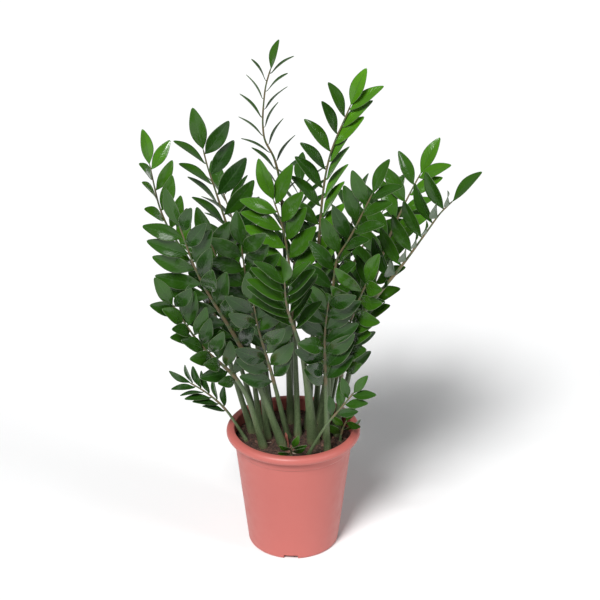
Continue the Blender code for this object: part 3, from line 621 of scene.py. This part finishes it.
def draw_leaflet(shape, leaflet, base, age_and_backlight, twist, marks):
    """A grid bent into a leaflet and its stub, then thickened. base is where the stub starts."""
    verts = bmesh.ops.create_grid(
        shape, x_segments=blade_columns, y_segments=blade_rows, size=0.5, calc_uvs=True
    )["verts"]
    across = leaflet.along.cross(leaflet.up)
    half = leaflet.width / 2
    for vert in verts:
        side = 2 * vert.co.x
        row = round((vert.co.y + 0.5) * blade_rows)
        share = max(0.0, (row - 1) / (blade_rows - 1))
        width = max(blade_outline(share) * half, stub_width / 2 if row < 2 else 0.0)
        centre = leaflet.root + leaflet.along * leaflet.length * share
        centre += leaflet.up * leaflet.length * leaflet_arch * math.sin(math.pi * share)
        if row == 0:
            centre = base
        turn = Matrix.Rotation(math.radians(twist * (share - twist_start)), 3, leaflet.along)
        out, lift = turn @ across, turn @ leaflet.up
        rise = blade_fold * width * abs(side) ** 1.3 if row > 1 else 0.0
        vert.co = centre + out * side * width + lift * rise
        vert[marks["youth"]] = age_and_backlight
    bmesh.ops.remove_doubles(shape, verts=verts, dist=0.00002)
    faces = list({f for v in verts if v.is_valid for f in v.link_faces})
    top = leaflet.up.dot(sum((f.normal * f.calc_area() for f in faces), Vector()))
    if top < 0:
        bmesh.ops.reverse_faces(shape, faces=faces)
    skin = bmesh.ops.solidify(shape, geom=faces, thickness=blade_thickness)["geom"]
    for face in faces:
        face.material_index = blade_slot
    for face in (f for f in skin if isinstance(f, bmesh.types.BMFace)):
        face.material_index = underside_slot


def along_blade(tree):
    """Share across and along a leaflet, from its UV map."""
    place = add_node(tree, "UVMap", uv_map="UVMap")
    parts = add_node(tree, "SeparateXYZ", {"Vector": place.outputs["UV"]})
    return parts.outputs["X"], parts.outputs["Y"]


def vein_masks(tree):
    """Masks of the midrib, and of the side veins that leave it slanting to the tip."""
    u, v = along_blade(tree)
    from_rib = add_node(tree, "Math", {0: u, 1: 0.5}, operation="SUBTRACT")
    distance = add_node(tree, "Math", {0: from_rib.outputs[0]}, operation="ABSOLUTE")
    rib = add_node(tree, "MapRange", {"Value": distance.outputs[0], "From Min": 0.012, "From Max": 0.045,
                                      "To Min": 1.0, "To Max": 0.0}, interpolation_type="SMOOTHSTEP")
    slant = add_node(tree, "Math", {0: distance.outputs[0], 1: -0.35, 2: v}, operation="MULTIPLY_ADD")
    turns = add_node(tree, "Math", {0: slant.outputs[0], 1: 75.0}, operation="MULTIPLY")
    wave = add_node(tree, "Math", {0: turns.outputs[0]}, operation="SINE")
    veins = add_node(tree, "MapRange", {"Value": wave.outputs[0], "From Min": 0.3, "From Max": 1.0},
                     interpolation_type="SMOOTHSTEP")
    return rib.outputs["Result"], veins.outputs["Result"]


def new_blade(name, old, young_and_backlit, rib_colour, roughness, coat):
    """A leaflet's waxy skin: wavy, yellower on new leaflets and where painted backlight falls, with a pale
    midrib, faint veins and patches.
    """
    material, tree, shader = new_material(name, roughness)
    place = stretched(tree, (1.0, 1.0, 1.0))
    age_and_backlight = add_node(tree, "Attribute", attribute_name="youth")
    rib, veins = vein_masks(tree)
    # The yellow-green end is partly the colour of new leaflets and partly painted backlight, leaflets lit
    # from behind.
    colour = mix_colours(tree, age_and_backlight.outputs["Fac"], old, young_and_backlit)
    patches = add_mottle(tree, place, 26.0, 2.0, 1.5)
    darker = add_node(tree, "MapRange", {"Value": patches, "To Min": 0.78, "To Max": 1.15})
    shade = add_node(tree, "VectorMath", {0: colour, "Scale": darker.outputs["Result"]}, operation="SCALE")
    veined = add_node(tree, "Math", {0: veins, 1: 0.10}, operation="MULTIPLY")
    colour = mix_colours(tree, veined.outputs[0], shade.outputs["Vector"], rib_colour)
    ribbed = add_node(tree, "Math", {0: rib, 1: 0.45}, operation="MULTIPLY")
    colour = mix_colours(tree, ribbed.outputs[0], colour, rib_colour)
    tree.links.new(colour, shader.inputs["Base Color"])
    bloom = add_mottle(tree, place, 70.0, 3.0, 2.0)
    dull = add_node(tree, "MapRange", {"Value": bloom, "To Min": roughness - 0.04,
                                       "To Max": roughness + 0.06})
    tree.links.new(dull.outputs["Result"], shader.inputs["Roughness"])
    raised = add_node(tree, "Math", {0: rib, 1: -1.5, 2: veins}, operation="MULTIPLY_ADD")
    waves = add_mottle(tree, place, 38.0, 1.0, 1.0)
    wavy = add_node(tree, "Bump", {"Strength": 0.7, "Distance": 0.0030, "Height": waves})
    bump = add_node(tree, "Bump", {"Strength": 0.35, "Distance": 0.0003, "Height": raised.outputs[0],
                                   "Normal": wavy.outputs["Normal"]})
    tree.links.new(bump.outputs["Normal"], shader.inputs["Normal"])
    shader.inputs["Coat Weight"].default_value = coat
    shader.inputs["Coat Roughness"].default_value = 0.07
    shader.inputs["Specular IOR Level"].default_value = 0.3
    return material


def new_stalk():
    """Grey-green stalk skin: streaked lengthwise with pale streaks that are partly painted highlight,
    speckled, reddish at the joints and the foot.
    """
    material, tree, shader = new_material("stalk_skin", 0.42)
    place = stretched(tree, (1.0, 1.0, 1.0))
    up = stretched(tree, (1.0, 1.0, 0.10))
    height = add_node(tree, "Attribute", attribute_name="height")
    colour = mix_colours(tree, height.outputs["Fac"], (0.085, 0.130, 0.055, 1.0),
                         (0.035, 0.095, 0.022, 1.0))
    streaks_and_sheen = add_mottle(tree, up, 260.0, 2.0, 2.5)
    # The pale streak colour is partly the stalk's streaked skin and partly a painted highlight along it.
    light = add_node(tree, "Math", {0: streaks_and_sheen, 1: 0.45}, operation="MULTIPLY")
    colour = mix_colours(tree, light.outputs[0], colour, (0.165, 0.205, 0.105, 1.0))
    specks = add_mottle(tree, place, 420.0, 2.0, 6.0)
    dark = add_node(tree, "MapRange", {"Value": specks, "From Min": 0.75, "From Max": 1.0, "To Max": 0.5})
    colour = mix_colours(tree, dark.outputs["Result"], colour, (0.045, 0.070, 0.028, 1.0))
    red = add_node(tree, "Attribute", attribute_name="reddening")
    redder = add_node(tree, "Math", {0: red.outputs["Fac"], 1: 0.55}, operation="MULTIPLY")
    colour = mix_colours(tree, redder.outputs[0], colour, (0.20, 0.105, 0.060, 1.0))
    tree.links.new(colour, shader.inputs["Base Color"])
    dull = add_node(tree, "MapRange", {"Value": streaks_and_sheen, "To Min": 0.34, "To Max": 0.52})
    tree.links.new(dull.outputs["Result"], shader.inputs["Roughness"])
    bump = add_node(tree, "Bump", {"Strength": 0.25, "Distance": 0.0004, "Height": streaks_and_sheen})
    tree.links.new(bump.outputs["Normal"], shader.inputs["Normal"])
    return material


stalk_skin = new_stalk()
leaf_blade = new_blade("leaf_blade", (0.0025, 0.020, 0.0040, 1.0), (0.080, 0.250, 0.008, 1.0),
                       (0.040, 0.110, 0.022, 1.0), 0.20, 0.30)
leaf_underside = new_blade("leaf_underside", (0.010, 0.042, 0.009, 1.0), (0.095, 0.250, 0.020, 1.0),
                           (0.070, 0.150, 0.040, 1.0), 0.38, 0.05)
blade_slot, underside_slot = 1, 2


def make_frond(stem):
    """One frond: its stalk and all its leaflets, smoothed from a coarse cage."""
    shape = bmesh.new()
    marks = {name: shape.verts.layers.float.new(name) for name in ("reddening", "height", "youth")}
    shape.loops.layers.uv.new("UVMap")
    grow_stalk(shape, stem, marks)
    frond = stem.frond
    corners = corners_of(frond.name)
    draw = random.Random(frond.name)
    looks = random.Random("looks of " + frond.name)
    last = as_in_frame(corners, [end_leaflet(stem, size) for size in sizes])
    age_and_backlight = max(frond.youth) + youth_at_tip
    draw_leaflet(shape, last, last.root - last.along * leaflet_stalk, age_and_backlight, 0.0, marks)
    for segment in range(stem.first_leaflet, len(stem.points) - 1):
        for side in (-1, 1):
            stray = [draw.uniform(-most, most) for most in sway] + [draw.uniform(*size_range)]
            row = 0 if side < 0 else 1
            tries = [leaflet_at(stem, segment, side, stray, lean, size) for size in sizes for lean in leans]
            leaflet = as_in_frame(corners, tries)
            base = stem.points[segment].lerp(stem.points[segment + 1], leaflet_starts[row])
            rank = (segment - stem.first_leaflet) / frond.pairs
            # A high share is partly painted backlight: it draws the leaflet yellow-green as if lit from
            # behind, as well as new.
            age_and_backlight = frond.youth[row] + youth_at_tip * rank + looks.uniform(-youth_spread, youth_spread)
            twist = looks.uniform(-twist_range, twist_range)
            draw_leaflet(shape, leaflet, base, max(0.0, age_and_backlight), twist, marks)
    piece = finish_shape(shape, frond.name.replace("frond", "leafy_frond"), sharp=180.0)
    for material in (stalk_skin, leaf_blade, leaf_underside):
        piece.data.materials.append(material)
    smooth = piece.modifiers.new("smooth", "SUBSURF")
    smooth.levels = smooth.render_levels = 1
    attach(piece, "root")
    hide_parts(frond.name)


stems = [plan_stem(frond) for frond in fronds]
for stem in stems:
    make_frond(stem)


# Soil: peat-based potting mix, filled to a little under the rim and settled by watering. Its top
# is crumbly and uneven, and heaped a little against the feet of the stalks.
soil_rings = 56
soil_steps = 200
soil_gap = 0.0003
crumb_height = 0.0024
heap_height = 0.0035
heap_reach = 0.008


def off_stalk(stem, point):
    """How far a place on the soil lies from the side of a stalk's foot."""
    foot = stem.points[1]
    return math.hypot(point.x - foot.x, point.y - foot.y) - stem.radii[1]


def soil_rise(point):
    """How far the soil's top stands above or below its mean level."""
    rough = noise.turbulence(point * 130, 4, False) - 0.5
    swell = noise.noise(point * 28)
    rise = crumb_height * (rough + 0.8 * swell)
    for stem in stems:
        rise += heap_height * math.exp(-max(0.0, off_stalk(stem, point)) / heap_reach)
    return rise


def make_soil():
    shape = bmesh.new()
    edge = inner_radius(soil_level) - soil_gap
    floor = channel_height + base_thickness + soil_gap
    top = [(edge * i / soil_rings, soil_level) for i in range(soil_rings + 1)]
    bends = [height for height in (step_height + step_depth, step_height) if height < soil_level]
    side = [(inner_radius(height) - soil_gap, height) for height in bends]
    under = [(wall_radius(floor) - wall - soil_gap, floor)]
    under += [(pad_radius + pad_slope - wall - soil_gap, floor)]
    under += [(pad_radius - wall - soil_gap, base_thickness + soil_gap), (0.0, base_thickness + soil_gap)]
    turn_profile(shape, top + side + under, soil_steps)
    bmesh.ops.recalc_face_normals(shape, faces=shape.faces)
    for vert in shape.verts:
        if abs(vert.co.z - soil_level) < 0.0001:
            vert.co.z += soil_rise(vert.co)
    return finish_shape(shape, "soil_bed", sharp=60.0)


def new_peat():
    """Damp peat: patchy dark brown, nearly black in the hollows of its bump, which is partly painted shade,
    red-brown where fibres lie, and quite dull.
    """
    material, tree, shader = new_material("damp_peat", 0.90)
    place = stretched(tree, (1.0, 1.0, 1.0))
    lumps_and_hollow_shade = add_mottle(tree, place, 120.0, 5.0, 2.2)
    # Dark where the bump below is low: partly the peat's own patchy tone and partly painted shade in the
    # hollows.
    colour = mix_colours(tree, lumps_and_hollow_shade, (0.010, 0.006, 0.004, 1.0), (0.060, 0.029, 0.019, 1.0))
    fibres = add_mottle(tree, place, 520.0, 3.0, 4.0)
    pale = add_node(tree, "MapRange", {"Value": fibres, "From Min": 0.7, "From Max": 1.0, "To Max": 0.5})
    colour = mix_colours(tree, pale.outputs["Result"], colour, (0.190, 0.095, 0.062, 1.0))
    tree.links.new(colour, shader.inputs["Base Color"])
    bump = add_node(tree, "Bump", {"Strength": 0.8, "Distance": 0.0012, "Height": lumps_and_hollow_shade})
    tree.links.new(bump.outputs["Normal"], shader.inputs["Normal"])
    return material


soil = make_soil()
soil.data.materials.append(new_peat())
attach(soil, "root")
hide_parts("soil")


# Bark chips, crumbs and twigs: composted bark and wood mixed into the peat, which lie loose on its
# top. Chips are flat and broken, crumbs are lumps of peat, and twigs are pale and thin.
chip_count = 150
chip_thickness = 0.0016
chip_bevel = 0.0004
crumb_count = 420
twig_count = 16
wall_margin = 0.006
stalk_margin = 0.002
scatter = random.Random("top dressing")


def soil_spot():
    """A place on the soil's top, clear of the pot's wall and of the stalks."""
    while True:
        radius = (inner_radius(soil_level) - wall_margin) * math.sqrt(scatter.random())
        angle = scatter.uniform(0.0, math.tau)
        spot = Vector((radius * math.cos(angle), radius * math.sin(angle), soil_level))
        if all(off_stalk(stem, spot) > stalk_margin for stem in stems):
            return spot + Vector((0, 0, soil_rise(spot)))


def lay_bit(shape, verts, size, tilt):
    """Sets a small shape down on the soil, turned any way and tipped a little."""
    turn = Matrix.Rotation(scatter.uniform(0.0, math.tau), 4, "Z")
    tip = Matrix.Rotation(math.radians(scatter.uniform(-tilt, tilt)), 4, "X")
    rock = Matrix.Rotation(math.radians(scatter.uniform(-tilt, tilt)), 4, "Y")
    place = Matrix.Translation(soil_spot()) @ turn @ tip @ rock @ Matrix.Diagonal((*size, 1.0))
    bmesh.ops.transform(shape, verts=verts, matrix=place)


def rough_up(verts, amount):
    for vert in verts:
        vert.co += Vector([scatter.uniform(-amount, amount) for _ in range(3)])


def new_scatter(name, dark, pale, scale):
    """Broken bark, wood or peat: each bit its own shade, with a grain on it."""
    material, tree, shader = new_material(name, 0.85)
    place = stretched(tree, (1.0, 1.0, 1.0))
    shade = add_node(tree, "Attribute", attribute_name="shade")
    grain = add_mottle(tree, place, scale, 3.0, 3.0)
    share = add_node(tree, "Math", {0: grain, 1: 0.5, 2: shade.outputs["Fac"]}, operation="MULTIPLY_ADD")
    colour = mix_colours(tree, share.outputs[0], dark, pale)
    tree.links.new(colour, shader.inputs["Base Color"])
    bump = add_node(tree, "Bump", {"Strength": 0.6, "Distance": 0.0004, "Height": grain})
    tree.links.new(bump.outputs["Normal"], shader.inputs["Normal"])
    return material


def finish_scatter(shape, name, material, sharp):
    piece = finish_shape(shape, name, sharp)
    piece.data.materials.append(material)
    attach(piece, "root")
    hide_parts("soil")


def shade_bit(verts, layer, value):
    for vert in verts:
        vert[layer] = value


shape = bmesh.new()
shade = shape.verts.layers.float.new("shade")
for i in range(chip_count):
    made = bmesh.ops.create_cube(shape, size=1.0)["verts"]
    rough_up(made, 0.22)
    shade_bit(made, shade, scatter.uniform(0.0, 0.6))
    lay_bit(shape, made, (scatter.uniform(0.004, 0.011), scatter.uniform(0.003, 0.006), chip_thickness), 30)
bmesh.ops.bevel(shape, geom=shape.edges, offset=chip_bevel, segments=1, profile=0.5, affect="EDGES",
                material=-1)
finish_scatter(shape, "bark_chips", new_scatter("composted_bark", (0.045, 0.020, 0.013, 1.0),
                                                (0.165, 0.082, 0.054, 1.0), 300.0), 30.0)

shape = bmesh.new()
shade = shape.verts.layers.float.new("shade")
for i in range(crumb_count):
    made = bmesh.ops.create_icosphere(shape, subdivisions=1, radius=0.5)["verts"]
    rough_up(made, 0.12)
    shade_bit(made, shade, scatter.uniform(0.0, 0.5))
    width = scatter.uniform(0.0016, 0.0045)
    lay_bit(shape, made, (width, width * scatter.uniform(0.7, 1.0), width * 0.8), 40)
finish_scatter(shape, "peat_crumbs", new_scatter("peat_lumps", (0.014, 0.008, 0.006, 1.0),
                                                 (0.080, 0.040, 0.027, 1.0), 500.0), 60.0)

shape = bmesh.new()
shade = shape.verts.layers.float.new("shade")
for i in range(twig_count):
    made = bmesh.ops.create_cone(shape, cap_ends=True, segments=7, radius1=0.5, radius2=0.35, depth=1.0,
                                 matrix=Matrix.Rotation(math.pi / 2, 4, "Y"))["verts"]
    rough_up(made, 0.08)
    shade_bit(made, shade, scatter.uniform(0.2, 0.9))
    width = scatter.uniform(0.0012, 0.0024)
    lay_bit(shape, made, (scatter.uniform(0.010, 0.024), width, width), 12)
finish_scatter(shape, "twig_bits", new_scatter("pale_twigs", (0.110, 0.070, 0.045, 1.0),
                                               (0.480, 0.400, 0.300, 1.0), 400.0), 50.0)


# Dry sheath: the papery bract that once wrapped a frond's foot. It dried red-brown, split, and
# still stands against the foot of the left-hand frond.
sheath_around = 10
sheath_up = 8
sheath_start = 20
sheath_spread = 130
sheath_thickness = 0.0006
sheath_gap = 0.0010
sheath_flare = 0.003
sheath_narrowing = 0.75
sheath_tear = 0.12
sheath_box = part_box("dry_sheath")
wrapped = next(stem for stem in stems if stem.frond.name == "frond_left")


def make_sheath():
    """A crumpled sheet bent round the foot of its stalk, narrower and torn towards the top."""
    shape = bmesh.new()
    bmesh.ops.create_grid(shape, x_segments=sheath_around, y_segments=sheath_up, size=0.5, calc_uvs=True)
    foot, lean = wrapped.points[1], wrapped.points[2] - wrapped.points[1]
    tall = sheath_box[1].z - soil_level
    for vert in shape.verts:
        high = vert.co.y + 0.5
        across = vert.co.x
        angle = math.radians(sheath_start + sheath_spread * across * (1 - sheath_narrowing * high))
        crumple = 0.0007 * math.sin(9 * across + 5 * high) + 0.0005 * math.sin(23 * across)
        radius = wrapped.radii[1] * foot_swelling + sheath_gap + sheath_flare * high**2 + crumple
        top = tall * (high - sheath_tear * high * abs(math.sin(7 * across)))
        centre = foot + lean * (top / lean.z)
        vert.co = centre + radius * Vector((math.cos(angle), math.sin(angle), 0))
    return finish_shape(shape, "dry_sheath_leaf", sharp=180.0)


def new_husk():
    """Dry red-brown paper with long ribs, torn at its edges."""
    material, tree, shader = new_material("dry_husk", 0.70)
    ribs = add_mottle(tree, stretched(tree, (1.0, 1.0, 0.08)), 700.0, 2.0, 2.5)
    colour = mix_colours(tree, ribs, (0.220, 0.055, 0.040, 1.0), (0.520, 0.200, 0.140, 1.0))
    tree.links.new(colour, shader.inputs["Base Color"])
    bump = add_node(tree, "Bump", {"Strength": 0.6, "Distance": 0.0004, "Height": ribs})
    tree.links.new(bump.outputs["Normal"], shader.inputs["Normal"])
    return material


sheath = make_sheath()
sheath.data.materials.append(new_husk())
paper = sheath.modifiers.new("paper", "SOLIDIFY")
paper.thickness = sheath_thickness
paper.offset = 1.0
smooth = sheath.modifiers.new("smooth", "SUBSURF")
smooth.levels = smooth.render_levels = 1
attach(sheath, "root")
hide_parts("dry_sheath")


# Floor and light: a plain white studio floor, a soft key light from the front left and above, a
# weaker fill light from the right, and an even pale surround.
floor_side = 14.0
shape = bmesh.new()
bmesh.ops.create_grid(shape, x_segments=1, y_segments=1, size=floor_side / 2)
floor = finish_shape(shape, "studio_floor")
paint, _, paint_shader = new_material("floor_paint", 0.9)
paint_shader.inputs["Base Color"].default_value = (0.93, 0.93, 0.93, 1.0)
paint_shader.inputs["Specular IOR Level"].default_value = 0.0
floor.data.materials.append(paint)


def add_light(name, strength, spread, pitch, heading):
    """A far soft light of the given angular width. pitch tips it down from overhead."""
    light = bpy.data.lights.new(name, "SUN")
    light.energy = strength
    light.angle = math.radians(spread)
    lamp = bpy.data.objects.new(name, light)
    lamp.rotation_euler = (math.radians(pitch), 0.0, math.radians(heading))
    bpy.context.scene.collection.objects.link(lamp)


add_light("key_light", 3.6, 20, 42, -24)
add_light("fill_light", 0.7, 18, 62, 62)

surround = bpy.data.worlds.new("surround")
surround.use_nodes = True
surround.node_tree.nodes["Background"].inputs["Color"].default_value = (0.96, 0.98, 1.0, 1.0)
surround.node_tree.nodes["Background"].inputs["Strength"].default_value = 0.19
bpy.context.scene.world = surround
bpy.context.scene.view_settings.view_transform = "Standard"
